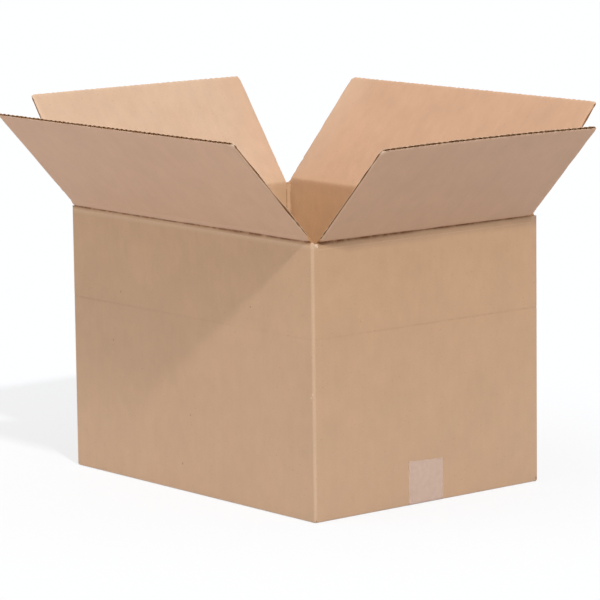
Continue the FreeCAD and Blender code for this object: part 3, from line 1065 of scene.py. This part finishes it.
@dataclass
class TopFlap(FlutedPanel):
    """One top flap, leaning at its crease.

    crease: its crease, from the frame.
    around: place of its middle on the unfolded sheet.
    bow: how far its free edge curves towards its inner face, in the middle.
    corner_radii: rounding of its free corners, at its two ends.
    frayed: how light those corners are rubbed.
    valley: depth of the fold's valley at the two ends.
    face: depth of the outer face below the hinge axis.
    inset: how far the free edge stays short of the reach.
    side_crush, free_crush: thickness lost at the side edges and at the free edge.
    side_width, free_width: how far in from those edges it goes.
    crush_limit: the most that is lost anywhere.
    """

    crease: Crease = None
    around: float = 0.0
    bow: float = 0.0
    corner_radii: tuple[float, float] = (2 * MM, 2 * MM)
    frayed: tuple[float, float] = (0.3, 0.3)
    valley: tuple[float, float] = (0.8 * MM, 0.8 * MM)
    face: float = HINGE_GAP
    inset: float = 0.6 * MM
    side_crush: float = 1.9 * MM
    free_crush: float = 1.1 * MM
    side_width: float = 1.9 * MM
    free_width: float = 1.6 * MM
    crush_limit: float = 2.9 * MM

    def place(self, across: Grid, along: Grid, depth: Grid) -> Grid:
        """Points by the flap's own axes, from its hinge line."""
        return self.crease.on_flap(across, along, depth)

    def sheet(self, across: Grid, along: Grid, side: float) -> Grid:
        """Places on the sheet: on from the wall under the flap."""
        return stack(self.around + across, self.crease.point[2] + along, side)

    def fold_place(self) -> tuple[float, float]:
        """The visible fold by the flap's axes: how far up and how deep."""
        lean, shift = self.crease.lean, self.crease.shift
        up = math.sin(lean) * shift - math.cos(lean) * HINGE_GAP
        return up, math.cos(lean) * shift + math.sin(lean) * HINGE_GAP

    def outer_depth(self, across: Grid, along: Grid) -> Grid:
        """The outer face: level, but drawn to the visible fold near the crease, and bowed.

        The crushed edges take a share of their loss from this face.
        """
        fold_up, fold_depth = self.fold_place()
        drawn = (fold_depth - self.face) * (1.0 - smooth((along - fold_up) / (self.start - fold_up)))
        return self.face + drawn + self.sway(across, along) + 0.4 * self.crush(across, along)

    def inner_depth(self, across: Grid, along: Grid) -> Grid:
        """The inner face: a board's thickness deeper, less at the crushed edges."""
        depth = self.face + BOARD.thickness + self.sway(across, along)
        return depth - 0.6 * self.crush(across, along)

    def sway(self, across: Grid, along: Grid) -> Grid:
        """How far the board leaves its plane.

        The bow grows with the square of the height and is a parabola across. The relief is low
        enough to leave the neighbours clear when the flap is closed or bent down.
        """
        share = np.clip(along / self.reach, 0.0, 1.0)
        bow = self.bow * share ** 2 * (1.0 - (across / self.half_span) ** 2)
        relief = 0.07 * MM * ripple(across, along, self.seed, 130 * MM) * smooth(along / (30 * MM))
        return bow + relief

    def crush(self, across: Grid, along: Grid) -> Grid:
        """Thickness lost at the cut edges: bells of the distance to a side and to the free end.

        The free end gives way more between the flutes' crests, which a cosine of their pitch
        stands for.
        """
        _, end = self.ends(np.asarray(across, float))
        side = bell(self.half_span - np.abs(across), self.side_width)
        rough = 1.0 + 0.3 * ripple(across, along, self.seed + 60, 7 * MM)
        crests = 1.0 + 0.5 * np.cos(math.tau * across / BOARD.pitch + self.seed)
        free = bell(end - along, self.free_width) * crests
        return np.clip((self.side_crush * side + self.free_crush * free) * rough, 0.0, self.crush_limit)

    def ends(self, across: Grid) -> tuple[Grid, Grid]:
        """The start at the crease strip, and the free edge with its rounded corners.

        A corner of radius r lowers the edge by r minus the root of r squared minus g squared,
        where g is how far the line lies into the corner.
        """
        low = np.full_like(across, self.start)
        high = np.full_like(across, self.reach - self.inset)
        for end, radius in zip((-1, 1), self.corner_radii):
            into = np.clip(radius - (self.half_span - end * across), 0.0, radius)
            high = high - (radius - np.sqrt(radius ** 2 - into ** 2))
        return low, high

    def wear(self, across: Grid, along: Grid) -> Grid:
        """Rubbed edges, and corners frayed light."""
        edges = super().wear(across, along)
        for end, amount in zip((-1, 1), self.frayed):
            gap = np.hypot(across - end * self.half_span, along - self.reach)
            edges = edges + amount * bell(gap, 4.0 * MM)
        return np.clip(edges, 0.0, 1.0)


@dataclass
class CreaseStrip:
    """The board bent between a wall and its flap, squeezed thin along the crease.

    The outer path runs up the wall, through a narrow valley at the visible fold and out on the
    flap's outer face. The inner path turns a tight corner from the wall's inner face to the flap's.
    """

    flap: TopFlap
    sizes: Walls
    valley_half: float = 1.0 * MM
    steps: int = 110

    def outer_path(self, across: Grid) -> tuple[Grid, Grid]:
        """Points of the outer face, and each one's distance from the visible fold."""
        crease, size = self.flap.crease, self.sizes
        below = crease.shift + size.strip_low
        fold_up, _ = self.flap.fold_place()
        beyond = self.flap.start - fold_up
        half = np.array([0.2, 0.4, 0.7, 1.0, 1.4, 2.0, 3.0])
        fine = self.valley_half * np.concatenate([-half[::-1], [0.0], half])
        run = np.concatenate([[-below], fine[fine > -below * 0.95], [beyond * 0.6, beyond]])
        u, path = np.meshgrid(across, run, indexing="ij")
        on_wall = crease.on_wall(u, np.full_like(u, -HINGE_GAP), crease.shift + path)
        up = fold_up + path
        on_flap = crease.on_flap(u, up, self.flap.outer_depth(u, up))
        points = np.where((path < 0.0)[..., None], on_wall, on_flap)
        sink = self.depth_along(u) * bell(path, self.width_along(u))
        inward = (crease.inward - crease.out) / np.linalg.norm(crease.inward - crease.out)
        return points + sink[..., None] * inward, path

    def depth_along(self, across: Grid) -> Grid:
        """Depth of the valley: even between its values at the two ends, and a little unsteady."""
        flap = self.flap
        share = (across + flap.half_span) / (2.0 * flap.half_span)
        depth = flap.valley[0] + (flap.valley[1] - flap.valley[0]) * share ** 2
        return depth * (1.0 + 0.2 * ripple(across, across * 0, flap.seed + 80, 60 * MM))

    def width_along(self, across: Grid) -> Grid:
        """Half width of the valley: its own value where the valley is 0.8 mm deep, in proportion."""
        return self.valley_half * np.clip(self.depth_along(across) / (0.8 * MM), 0.7, 2.0)

    def inner_path(self, across: Grid, count: int) -> tuple[Grid, Grid]:
        """Points of the inner face: from the wall's face to the flap's round a tight corner.

        With s running from 1 to -1, the share of the way back to the wall is the hyperbola
        (s + root of s squared plus e squared) / 2, scaled to end at 0 and 1.
        """
        crease, size = self.flap.crease, self.sizes
        s = np.linspace(1.0, -1.0, count)
        s = np.sign(s) * np.abs(s) ** 1.5
        u, s = np.meshgrid(across, s, indexing="ij")
        ones = np.ones_like(u)
        face, up = HINGE_GAP + BOARD.thickness, self.flap.start * ones
        start = crease.on_wall(u, -face * ones, -size.strip_low_inside * ones)
        end = crease.on_flap(u, up, self.flap.inner_depth(u, up))
        gap = end - start
        climb = (gap @ crease.out) / (crease.rise @ crease.out)
        corner = end - climb[..., None] * crease.rise
        low, high = self.round_share(-1.0), self.round_share(1.0)
        back, forth = ((self.round_share(side * s) - low) / (high - low) for side in (1.0, -1.0))
        points = corner + back[..., None] * (start - corner) + forth[..., None] * (end - corner)
        return points, bell(s, 0.2)

    @staticmethod
    def round_share(s: Grid | float) -> Grid | float:
        """The hyperbola of the inner corner."""
        return (s + np.sqrt(s * s + 0.09)) / 2.0

    def build(self, finishes: Finishes) -> Object:
        """Make the strip as a plate between its two paths."""
        flap = self.flap
        across = np.linspace(-flap.half_span, flap.half_span, self.steps)
        outer, run = self.outer_path(across)
        inner, line = self.inner_path(across, outer.shape[1])
        u = np.repeat(across[:, None], outer.shape[1], axis=1)
        height = flap.crease.point[2] + flap.crease.shift + run
        # Painted shade in the fold's valley, a little wider than the valley itself.
        pressed = bell(run, 1.25 * self.width_along(u))
        front = surface(outer, stack(flap.around + u, height, 0.0), 0.0, pressed)
        # A faint painted shade along the inner corner of the fold.
        back = surface(inner, stack(flap.around + u, height, INSIDE), 0.0, 0.12 * line)
        skin = slab(front, back, (OUTER, INNER, CUT))
        return build_object(flap.name.replace("_board", "_crease"), [skin], finishes.board())


@dataclass
class BottomFlap(FlutedPanel):
    """One closed bottom flap.

    out: direction from the middle to its wall.
    edge: distance of its wall's inner face from the middle.
    base: height of its underside.
    climb: how far it rises in a first stretch of that run, for the flaps that lie on the others.
    """

    out: tuple[float, float] = (1.0, 0.0)
    edge: float = 0.0
    base: float = 0.0
    climb: float = 0.0
    climb_run: float = 6.0 * MM
    sheet_start: float = 0.0
    pinch_width: float = 1.5 * MM

    def place(self, across: Grid, along: Grid, depth: Grid) -> Grid:
        """Points on the floor of the carton: along runs from the wall to the middle."""
        across, along, depth = np.broadcast_arrays(across, along, depth)
        out = np.array(self.out)
        run = np.array([out[1], -out[0]])
        plan = out * (self.edge - along[..., None]) + run * across[..., None]
        height = self.base + depth + self.climb * np.clip(along / self.climb_run, 0.0, 1.0)
        return np.concatenate([plan, height[..., None]], axis=-1)

    def sheet(self, across: Grid, along: Grid, side: float) -> Grid:
        """Places on the sheet: down from the foot of the wall."""
        return stack(self.sheet_start + across, -along, side)

    def outer_depth(self, across: Grid, along: Grid) -> Grid:
        """The underside, pinched by a knife's cut at its side and free edges."""
        return self.pinch(across, along, 0.25 * MM, 0.25 * MM)

    def inner_depth(self, across: Grid, along: Grid) -> Grid:
        """The upper face, pinched the same way and a little uneven."""
        uneven = 0.15 * MM * (1.0 + ripple(across, along, self.seed, 90 * MM)) / 2
        return BOARD.thickness - self.pinch(across, along, 0.5 * MM, 0.4 * MM) - uneven

    def pinch(self, across: Grid, along: Grid, side: float, free: float) -> Grid:
        """Depth lost near the side edges and near the free edge, from so much at each."""
        gap = self.half_span - np.abs(across)
        return side * bell(gap, self.pinch_width) + free * bell(self.reach - along, self.pinch_width)


@dataclass
class GluedLap(FlutedPanel):
    """The lap glued inside the right wall, next to the back wall, with slanted ends."""

    wall_face: float = 0.0
    corner: float = 0.0
    low: float = 12.4 * MM
    high: float = 280.0 * MM
    taper: float = 12.0 * MM

    def place(self, across: Grid, along: Grid, depth: Grid) -> Grid:
        """Points against the right wall: across runs towards the front, along runs up."""
        across, along, depth = np.broadcast_arrays(across, along, depth)
        return stack(self.wall_face - depth, self.corner - self.half_span - across, along)

    def sheet(self, across: Grid, along: Grid, side: float) -> Grid:
        """Places on the sheet: before its start."""
        return stack(-self.half_span - across, along, side)

    def ends(self, across: Grid) -> tuple[Grid, Grid]:
        """The ends slant by the taper over the lap's width."""
        share = (across + self.half_span) / (2 * self.half_span)
        return self.low + self.taper * share, self.high - self.taper * share

    def inner_depth(self, across: Grid, along: Grid) -> Grid:
        """The face that shows, pressed thinner at its free upright edge and its ends."""
        low, high = self.ends(np.asarray(across))
        gap = np.minimum(np.minimum(along - low, high - along), self.half_span - across)
        return BOARD.thickness - 1.2 * MM * bell(gap, 2.5 * MM)


@dataclass
class Tape:
    """Clear tape along the bottom seam and up the two short walls.

    The path goes down one wall, round its foot, along the underside and up the other wall.

    middle, half_width: place and half of its width along Y.
    tab: height of its two ends.
    film, glue: its thickness, and its distance from the board.
    slant, tooth, tooth_pitch: the cut of its ends.
    """

    sizes: Walls
    middle: float
    half_width: float
    tab: float
    film: float = 0.063 * MM
    glue: float = 0.004 * MM
    slant: float = 1.4 * MM
    tooth: float = 0.35 * MM
    tooth_pitch: float = 1.3 * MM
    across_steps: int = 148
    rise_steps: int = 26
    turn_steps: int = 7
    floor_steps: int = 60

    @staticmethod
    def from_frame(sizes: Walls) -> "Tape":
        """Read the tape's width, place and height from its node."""
        low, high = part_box("bottom_tape")
        return Tape(sizes, (low.y + high.y) / 2, (high.y - low.y) / 2, high.z)

    def build(self, finishes: Finishes) -> Object:
        """Make the film as a plate between its inner and outer side."""
        across = np.linspace(-self.half_width, self.half_width, self.across_steps)
        radius, half = self.sizes.foot_radius, self.sizes.half_length
        rise = np.linspace(1.0, 0.0, self.rise_steps)
        turns = np.linspace(0.0, math.pi / 2, self.turn_steps)[1:-1]
        flat = np.linspace(0.0, 1.0, self.floor_steps)
        centre = np.array([half - radius, self.sizes.foot + radius])
        straight = self.tab - centre[1]
        share = np.concatenate([rise, 0.0 * turns])
        turn = np.concatenate([0.0 * rise, turns])
        out = np.column_stack([np.cos(turn), -np.sin(turn)])
        side = centre + radius * out + np.column_stack([0.0 * share, share * straight])
        floor = np.column_stack([(half - radius) * (1.0 - 2.0 * flat), np.full_like(flat, self.sizes.foot)])
        down = np.column_stack([np.zeros_like(flat), -np.ones_like(flat)])
        mirror = np.array([-1.0, 1.0])
        path = np.concatenate([side, floor, side[::-1] * mirror])
        heading = np.concatenate([out, down, out[::-1] * mirror])
        first = np.concatenate([share, np.zeros(len(flat) + len(side))])
        last = first[::-1]
        teeth = self.tooth * (1.0 - np.abs((across / self.tooth_pitch) % 1.0 * 2.0 - 1.0))
        cut = -self.tooth * 2 + teeth + self.slant * (-across / self.half_width) * 0.8
        wander = 0.12 * MM * ripple(across, across * 0, 71, 20 * MM)
        u = np.repeat(across[:, None], len(path), axis=1)
        lift = (cut + wander)[:, None] * (smooth(first * 1.6 - 0.6) + 0.8 * smooth(last * 1.6 - 0.6))[None, :]
        film = []
        for depth in (self.glue, self.glue + self.film):
            x, z = (path + heading * depth).T
            film.append(stack(x[None, :] + 0 * u, self.middle + u, z[None, :] + lift))
        length = np.concatenate([[0.0], np.cumsum(np.linalg.norm(np.diff(path, axis=0), axis=1))])
        sheet = stack(length[None, :] + 0 * u, u, 3.0)
        side_gap = self.half_width - np.abs(u)
        end_gap = np.minimum(length, length[-1] - length)[None, :] + 0 * u
        wear = 0.5 * bell(np.minimum(side_gap, end_gap), 1.6 * MM)
        skin = slab(surface(film[1], sheet, wear), surface(film[0], sheet, wear), (0, 0, 0))
        return build_object("bottom_seam_tape", [skin], [finishes.tape])


@dataclass(frozen=True)
class Studio:
    """Plain pale floor, soft light, and the camera at the photograph's viewing angle.

    azimuth, elevation, roll: of the camera, in degrees; azimuth 0 looks along +Y.
    focal: focal length in pixels of the square picture.
    distance: from the aimed point, which lies shift_right and shift_up from the carton's axis.
    ambient: strength of the world's soft light.
    suns: each lamp's name, direction, strength and spread in degrees.
    floor_white: how much of the floor the camera sees as plain white.
    """

    azimuth: float = 50.47
    elevation: float = 8.98
    roll: float = -0.72
    focal: float = 3616.6
    picture: float = 600.0
    distance: float = 3949.5 * MM
    aim_height: float = 150.0 * MM
    shift_right: float = -1.9 * MM
    shift_up: float = 41.7 * MM
    ambient: float = 0.37
    suns: tuple = (
        ("key_light", (0.658, -0.226, 0.719), 1.94, 3.6),
        ("fill_light", (-0.55, -0.80, 0.25), 0.85, 70.0),
        ("top_light", (0.0, 0.0, 1.0), 0.64, 80.0),
    )
    floor_half: float = 30.0
    floor_colour: tuple = (0.88, 0.91, 0.95, 1.0)
    floor_white: float = 0.72

    def build(self) -> None:
        """Make the world, the floor, the lamps and the camera."""
        self.world()
        self.floor()
        for name, direction, strength, spread in self.suns:
            self.sun(name, direction, strength, spread)
        self.camera()

    def world(self) -> None:
        """White where the camera, gloss or glass sees it, and an even soft light otherwise."""
        world = bpy.data.worlds.new("studio")
        bpy.context.scene.world = world
        world.use_nodes = True
        nodes = Nodes(world.node_tree)
        path = nodes.node("ShaderNodeLightPath")
        seen = Wire(nodes, path.outputs["Is Camera Ray"])
        for other in ("Is Glossy Ray", "Is Transmission Ray"):
            seen = seen.maths("MAXIMUM", seen, Wire(nodes, path.outputs[other]))
        strength = self.ambient + (1.0 - self.ambient) * seen
        nodes.fill(world.node_tree.nodes["Background"], {"Color": WHITE, "Strength": strength})

    def floor(self) -> None:
        """A wide pale floor, seen only from above, with a faint shadow for the camera."""
        shader = Shader("studio_floor")
        shader.finish(self.floor_colour, 0.9, None, 0.0, {"Specular IOR Level": 0.0})
        white = shader.node("ShaderNodeEmission", None, {"Color": WHITE, "Strength": 1.0})
        seen = Wire(shader, shader.node("ShaderNodeLightPath").outputs["Is Camera Ray"]) * self.floor_white
        clear = shader.node("ShaderNodeBsdfTransparent")
        under = shader.node("ShaderNodeNewGeometry")
        pale = self.blend(shader, seen, shader.surface.outputs[0], white.outputs[0])
        whole = self.blend(shader, Wire(shader, under.outputs["Backfacing"]), pale, clear.outputs[0])
        shader.tree.links.new(whole, shader.tree.nodes["Material Output"].inputs[0])
        half = self.floor_half
        mesh = bpy.data.meshes.new("studio_floor")
        corners = [(-half, -half, 0), (half, -half, 0), (half, half, 0), (-half, half, 0)]
        mesh.from_pydata(corners, [], [(0, 1, 2, 3)])
        mesh.materials.append(shader.material)
        add_object("studio_floor", mesh)

    @staticmethod
    def blend(shader: Shader, share: Wire, first: NodeSocket, second: NodeSocket) -> NodeSocket:
        """Two shaders mixed by a share of the second."""
        mixed = shader.node("ShaderNodeMixShader", None, {0: share})
        shader.tree.links.new(first, mixed.inputs[1])
        shader.tree.links.new(second, mixed.inputs[2])
        return mixed.outputs[0]

    def sun(self, name: str, direction: tuple, strength: float, spread: float) -> None:
        """A lamp far away in a direction, as wide as its spread in degrees."""
        lamp = bpy.data.lights.new(name, "SUN")
        lamp.energy = strength
        lamp.angle = math.radians(spread)
        made = add_object(name, lamp)
        made.rotation_mode = "QUATERNION"
        made.rotation_quaternion = Vector(direction).to_track_quat("Z", "Y")

    def camera(self) -> None:
        """The camera: it looks back along its direction, turned by the roll."""
        a, e, r = (math.radians(v) for v in (self.azimuth, self.elevation, self.roll))
        back = Vector((math.sin(a) * math.cos(e), -math.cos(a) * math.cos(e), math.sin(e)))
        right = Vector((math.cos(a), math.sin(a), 0.0))
        up = back.cross(right)
        turned_right = right * math.cos(r) + up * math.sin(r)
        turned_up = up * math.cos(r) - right * math.sin(r)
        aim = Vector((0.0, 0.0, self.aim_height)) + right * self.shift_right + up * self.shift_up
        data = bpy.data.cameras.new("camera")
        data.lens = self.focal / self.picture * data.sensor_width
        camera = add_object("camera", data)
        frame = Matrix((turned_right, turned_up, back)).transposed().to_4x4()
        camera.matrix_world = Matrix.Translation(aim + back * self.distance) @ frame
        bpy.context.scene.camera = camera


@dataclass
class Carton:
    """The whole carton: walls, top flaps with their creases, bottom flaps, lap and tape.

    fold_shift: the visible folds' height from the hinge axes.
    blend_zone: a distance each side of the hinge line, from which two points are worked out that nothing
    uses.
    flap_start: from the hinge line to where a top flap's open board begins.
    short_slot: between a corner and an inner bottom flap's side.
    half_seam: half of the seam between the outer bottom flaps.
    layer_gap: air between two bottom flaps that lie on each other.
    step_run, step_gap: an inner flap's climb, and its distance from the outer flaps' ends.
    inner_reach: of an inner bottom flap, from the wall's outside.
    lap_half: half of the glued lap's width.
    """

    frame: dict
    finishes: Finishes
    sizes: Walls = field(default_factory=Walls.from_frame)
    fold_shift: float = 1.7 * MM
    blend_zone: float = 2.5 * MM
    flap_start: float = 6.5 * MM
    short_slot: float = 8.5 * MM
    half_seam: float = 0.5 * MM
    layer_gap: float = 0.3 * MM
    step_run: float = 6.0 * MM
    step_gap: float = 0.6 * MM
    inner_reach: float = 149.0 * MM
    lap_half: float = 17.5 * MM

    def creases(self) -> dict[str, Crease]:
        """Every crease by its flap's name, its visible fold shifted towards one shared height."""
        made = {}
        for joint in self.frame["joints"]:
            shift = -self.fold_shift if abs(joint["axis"][0]) > 0.5 else self.fold_shift
            made[joint["child"]] = Crease.from_frame(joint, self.frame["nodes"], shift)
        return made

    def build(self) -> None:
        """Make every piece and let it ride on its body, except the crease strips, which stay where they are
        made.
        """
        creases = self.creases()
        self.on_carton(CartonWalls(self.sizes, creases).build(self.finishes))
        for flap in self.bottom_flaps():
            self.on_carton(flap.build(self.finishes))
        tape = Tape.from_frame(self.sizes).build(self.finishes)
        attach(tape, "carton")
        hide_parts("bottom_tape")
        for flap in self.top_flaps(creases):
            crease = flap.crease
            board = flap.build(self.finishes)
            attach(board, crease.name)
            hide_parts(crease.name)
            strip = CreaseStrip(flap, self.sizes).build(self.finishes)
            start = Vector(crease.point - UP * self.blend_zone)
            end = Vector(crease.point + crease.rise * self.blend_zone)
            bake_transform(strip)

    def on_carton(self, piece: Object) -> None:
        """Let a piece of the bent sheet stand for its node on the carton's body."""
        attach(piece, "carton")
        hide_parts("carton_body")

    def top_flaps(self, creases: dict[str, Crease]) -> list[TopFlap]:
        """The four top flaps, each with its own bow, rounding and fraying."""
        size = self.sizes
        even = (0.8 * MM, 0.8 * MM)
        looks = {
            "front_flap": (0.0, (1.5 * MM, 2.5 * MM), (1.0, 0.2), (0.9 * MM, 0.7 * MM), 11),
            "back_flap": (0.0, (7.0 * MM, 2.0 * MM), (0.3, 0.2), even, 23),
            "left_flap": (0.4 * MM, (2.0 * MM, 3.5 * MM), (0.2, 0.3), even, 37),
            "right_flap": (1.8 * MM, (2.0 * MM, 2.5 * MM), (0.2, 0.9), (0.7 * MM, 1.5 * MM), 53),
        }
        made = []
        for wall in Wall:
            name = wall.value[0]
            crease = creases[name]
            bow, radii, frayed, valley, seed = looks[name]
            half, _ = size.plan(wall)
            made.append(TopFlap(
                name + "_board", crease.half_span, self.flap_start, crease.reach, seed, crease=crease,
                around=size.around(wall.place) + half, bow=bow, corner_radii=radii, frayed=frayed,
                valley=valley, across_steps=round(2 * crease.half_span / BOARD.pitch) * 6))
        return made

    def bottom_flaps(self) -> list[FlutedPanel]:
        """The taped outer flaps, the inner flaps that lie on them, and the glued lap."""
        size = self.sizes
        inner_length = size.half_length - BOARD.thickness
        inner_width = size.half_width - BOARD.thickness
        inner = ("inner", size.half_width - self.short_slot, self.inner_reach - BOARD.thickness,
                 inner_length, BOARD.thickness + self.layer_gap)
        outer = ("outer", inner_length - self.step_run - self.step_gap, inner_width - self.half_seam,
                 inner_width, 0.0)
        made = []
        for wall in Wall:
            name = wall.value[0].replace("_flap", "")
            kind, half_span, reach, edge, climb = inner if wall.value[1][0] else outer
            start = size.around(wall.place) + size.plan(wall)[0]
            made.append(BottomFlap(
                f"{name}_{kind}_bottom_flap", half_span, 0.0, reach, 71 + wall.place, out=wall.value[1],
                edge=edge, base=size.foot, climb=climb, climb_run=self.step_run, sheet_start=start))
        made.append(GluedLap("glued_lap", self.lap_half, 0.0, 0.0, 91, across_steps=14,
                             wall_face=inner_length, corner=inner_width))
        return made


def make_finishes() -> Finishes:
    """Every finish of the carton."""
    # The first light tone is torn fibres lit as a painted highlight; the second is a painted highlight.
    frayed, fold_bulge_highlight = tone(240, 214, 194), tone(222, 192, 166)
    specks = (
        Spot(0.415, 0.214, 0.9 * MM), Spot(0.640, 0.205, 0.9 * MM), Spot(0.655, 0.150, 0.9 * MM),
        Spot(0.535, 0.030, 1.0 * MM), Spot(0.520, 0.085, 0.9 * MM),
        # A dark spot painted as the shade in a small hole at the foot of the front corner, and a greyish dark
        # spot at the foot of the glued corner.
        Spot(0.3115, 0.002, 0.9 * MM, tone(70, 48, 34)), Spot(0.0015, 0.004, 1.6 * MM, tone(110, 84, 74)),
        # Torn fibres at the front top corner, lit as a painted highlight.
        Spot(0.3080, 0.2885, 1.4 * MM, frayed), Spot(0.3060, 0.2868, 0.9 * MM, frayed),
        # Painted highlights where the front upright fold bulges.
        Spot(0.3150, 0.1345, 1.1 * MM, fold_bulge_highlight), Spot(0.3172, 0.1310, 1.0 * MM, fold_bulge_highlight),
    )
    outer = (
        # Painted light: lighter and bluer at the foot and on the underside, from the floor's bounce, and
        # warmer towards the top of the walls.
        PaintedLightDrift(1, 0.0, 0.27, (1.04, 1.06, 1.08, 1.0), (1.0, 0.97, 0.90, 1.0)),
        # Painted light: the flaps' outer faces, which look down at the floor, lighter and bluer.
        PaintedLightDrift(1, 0.2905, 0.2925, WHITE, (1.05, 1.04, 1.16, 1.0)),
        # Painted shade: the right wall and its flaps drawn 4% darker, easing back to full tone next to the
        # front corner.
        PaintedLightDrift(0, 0.30, 0.325, (0.96, 0.96, 0.96, 1.0), WHITE),
    )
    inner = (
        # Painted light and shade: the inside before the back-left corner, on the lit side, paler and bluer;
        # the back wall and its flap, in shade, darker and warmer.
        PaintedLightDrift(0, 0.98, 1.10, (1.01, 1.08, 1.155, 1.0), (0.915, 0.855, 0.83, 1.0)),
        # Painted light: the inside below the creases lighter and yellower than the flaps' inner faces.
        PaintedLightDrift(1, 0.280, 0.300, (1.08, 1.13, 1.05, 1.0), WHITE),
    )
    return Finishes(
        outer=KraftPaper("kraft_outer", tone(186, 151, 120), specks=specks, drifts=outer).build(),
        inner=KraftPaper("kraft_inner", tone(210, 173, 141), mottle=0.18, fibres=0.16, drifts=inner).build(),
        cut=CutPaper("kraft_cut", tone(192, 148, 106)).build(),
        tape=ClearTape("clear_tape", tone(228, 202, 186)).build(),
    )


def main() -> None:
    """Load the frame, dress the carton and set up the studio."""
    logging.basicConfig(level=logging.INFO, format="%(name)s: %(message)s")
    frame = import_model()
    Carton(frame, make_finishes()).build()
    Studio().build()
    bpy.context.scene.view_settings.view_transform = "Standard"


if __name__ == "__main__":
    main()
